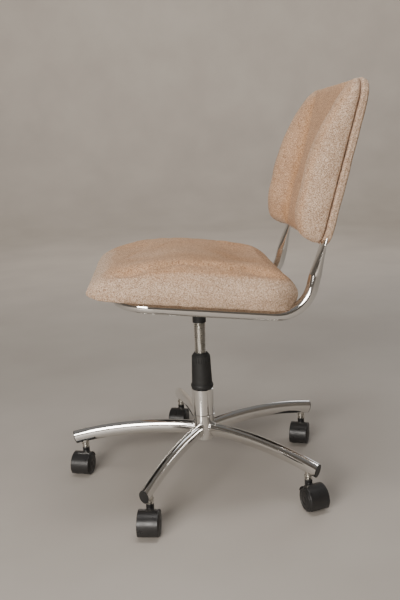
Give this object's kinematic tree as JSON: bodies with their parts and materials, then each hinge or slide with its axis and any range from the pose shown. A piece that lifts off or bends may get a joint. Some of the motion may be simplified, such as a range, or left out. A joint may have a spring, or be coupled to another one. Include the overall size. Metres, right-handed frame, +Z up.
{
  "type": "drafting chair",
  "caption": "Swivel work chair: tweed seat and low backrest on a bent chrome tube, screw-adjusted column, star base on twin-wheel casters.",
  "frame": {"origin": "on the floor, on the column axis, midway between the casters", "axes": "+Z up; the sitter faces -Y; the sitter's left is +X"},
  "size_m": [0.6095, 0.6385, 0.859],
  "materials": {
    "chrome": "polished chrome plate",
    "zinc_steel": "zinc plated steel",
    "black_steel": "black painted steel",
    "grip_plastic": "matt black plastic",
    "caster_plastic": "semi-gloss black plastic",
    "bush_plastic": "natural nylon",
    "tweed": "beige and brown flecked tweed over foam",
    "plywood": "plain plywood",
    "dust_cloth": "black non-woven cloth"
  },
  "bodies": {
    "base": {"hub_tube": "chrome", "base_leg_1": "chrome", "base_leg_2": "chrome", "base_leg_3": "chrome", "base_leg_4": "chrome", "base_leg_5": "chrome", "leg_end_caps": "grip_plastic", "caster_sockets": "zinc_steel", "guide_tube": "black_steel", "column_cover": "chrome", "guide_bush": "bush_plastic", "thrust_race": "zinc_steel", "thrust_balls": "zinc_steel"},
    "grip": {"spindle_nut": "zinc_steel", "grip_sleeve": "grip_plastic"},
    "spindle": {"spindle": "zinc_steel", "spindle_stop_ring": "zinc_steel", "top_collar": "grip_plastic", "swivel_washer": "zinc_steel", "swivel_screw": "zinc_steel"},
    "seat": {"seat_frame_tube": "chrome", "crossbar_front": "black_steel", "crossbar_rear": "black_steel", "bracket_plate": "black_steel", "swivel_socket": "black_steel", "bracket_bolts": "zinc_steel", "seat_board": "plywood", "seat_dust_cover": "dust_cloth", "seat_screws": "zinc_steel", "seat_cushion": "tweed", "back_board": "plywood", "back_cushion": "tweed", "back_panel": "tweed", "back_screws": "zinc_steel"},
    "caster_1": {"caster_housing_1": "caster_plastic", "caster_stem_1": "zinc_steel", "caster_axle_1": "zinc_steel"},
    "left_wheel_1": {"wheel_left_1": "caster_plastic"},
    "right_wheel_1": {"wheel_right_1": "caster_plastic"},
    "caster_2": {"caster_housing_2": "caster_plastic", "caster_stem_2": "zinc_steel", "caster_axle_2": "zinc_steel"},
    "left_wheel_2": {"wheel_left_2": "caster_plastic"},
    "right_wheel_2": {"wheel_right_2": "caster_plastic"},
    "caster_3": {"caster_housing_3": "caster_plastic", "caster_stem_3": "zinc_steel", "caster_axle_3": "zinc_steel"},
    "left_wheel_3": {"wheel_left_3": "caster_plastic"},
    "right_wheel_3": {"wheel_right_3": "caster_plastic"},
    "caster_4": {"caster_housing_4": "caster_plastic", "caster_stem_4": "zinc_steel", "caster_axle_4": "zinc_steel"},
    "left_wheel_4": {"wheel_left_4": "caster_plastic"},
    "right_wheel_4": {"wheel_right_4": "caster_plastic"},
    "caster_5": {"caster_housing_5": "caster_plastic", "caster_stem_5": "zinc_steel", "caster_axle_5": "zinc_steel"},
    "left_wheel_5": {"wheel_left_5": "caster_plastic"},
    "right_wheel_5": {"wheel_right_5": "caster_plastic"}
  },
  "joints": [
    {"name": "grip_turn", "type": "hinge", "parent": "base", "child": "grip", "pos_m": [0, 0, 0.24], "axis": [0, 0, 1], "range_deg": [-5700, 4692]},
    {"name": "spindle_lift", "type": "slide", "parent": "base", "child": "spindle", "axis": [0, 0, 1], "range_m": [-0.065, 0.079]},
    {"name": "seat_swivel", "type": "hinge", "parent": "spindle", "child": "seat", "pos_m": [0, 0, 0.39], "axis": [0, 0, 1], "continuous": true},
    {"name": "caster_swivel_1", "type": "hinge", "parent": "base", "child": "caster_1", "pos_m": [0.1994, 0.1994, 0.07], "axis": [0, 0, 1], "continuous": true},
    {"name": "left_wheel_spin_1", "type": "hinge", "parent": "caster_1", "child": "left_wheel_1", "pos_m": [0.22033, 0.2062, 0.025], "axis": [0.309, -0.9511, 0], "continuous": true},
    {"name": "right_wheel_spin_1", "type": "hinge", "parent": "caster_1", "child": "right_wheel_1", "pos_m": [0.22033, 0.2062, 0.025], "axis": [0.309, -0.9511, 0], "continuous": true},
    {"name": "caster_swivel_2", "type": "hinge", "parent": "base", "child": "caster_2", "pos_m": [-0.12802, 0.25126, 0.07], "axis": [0, 0, 1], "continuous": true},
    {"name": "left_wheel_spin_2", "type": "hinge", "parent": "caster_2", "child": "left_wheel_2", "pos_m": [-0.10763, 0.24302, 0.025], "axis": [-0.3746, -0.9272, 0], "continuous": true},
    {"name": "right_wheel_spin_2", "type": "hinge", "parent": "caster_2", "child": "right_wheel_2", "pos_m": [-0.10763, 0.24302, 0.025], "axis": [-0.3746, -0.9272, 0], "continuous": true},
    {"name": "caster_swivel_3", "type": "hinge", "parent": "base", "child": "caster_3", "pos_m": [-0.27853, -0.04412, 0.07], "axis": [0, 0, 1], "continuous": true},
    {"name": "left_wheel_spin_3", "type": "hinge", "parent": "caster_3", "child": "left_wheel_3", "pos_m": [-0.25786, -0.05164, 0.025], "axis": [-0.342, -0.9397, 0], "continuous": true},
    {"name": "right_wheel_spin_3", "type": "hinge", "parent": "caster_3", "child": "right_wheel_3", "pos_m": [-0.25786, -0.05164, 0.025], "axis": [-0.342, -0.9397, 0], "continuous": true},
    {"name": "caster_swivel_4", "type": "hinge", "parent": "base", "child": "caster_4", "pos_m": [-0.04412, -0.27853, 0.07], "axis": [0, 0, 1], "continuous": true},
    {"name": "left_wheel_spin_4", "type": "hinge", "parent": "caster_4", "child": "left_wheel_4", "pos_m": [-0.02308, -0.28496, 0.025], "axis": [-0.2924, -0.9563, 0], "continuous": true},
    {"name": "right_wheel_spin_4", "type": "hinge", "parent": "caster_4", "child": "right_wheel_4", "pos_m": [-0.02308, -0.28496, 0.025], "axis": [-0.2924, -0.9563, 0], "continuous": true},
    {"name": "caster_swivel_5", "type": "hinge", "parent": "base", "child": "caster_5", "pos_m": [0.25126, -0.12802, 0.07], "axis": [0, 0, 1], "continuous": true},
    {"name": "left_wheel_spin_5", "type": "hinge", "parent": "caster_5", "child": "left_wheel_5", "pos_m": [0.27299, -0.13147, 0.025], "axis": [-0.1564, -0.9877, 0], "continuous": true},
    {"name": "right_wheel_spin_5", "type": "hinge", "parent": "caster_5", "child": "right_wheel_5", "pos_m": [0.27299, -0.13147, 0.025], "axis": [-0.1564, -0.9877, 0], "continuous": true}
  ],
  "couplings": [
    {"joint": "grip_turn", "follows": "spindle_lift", "rad_per_m": -1256.6}
  ]
}
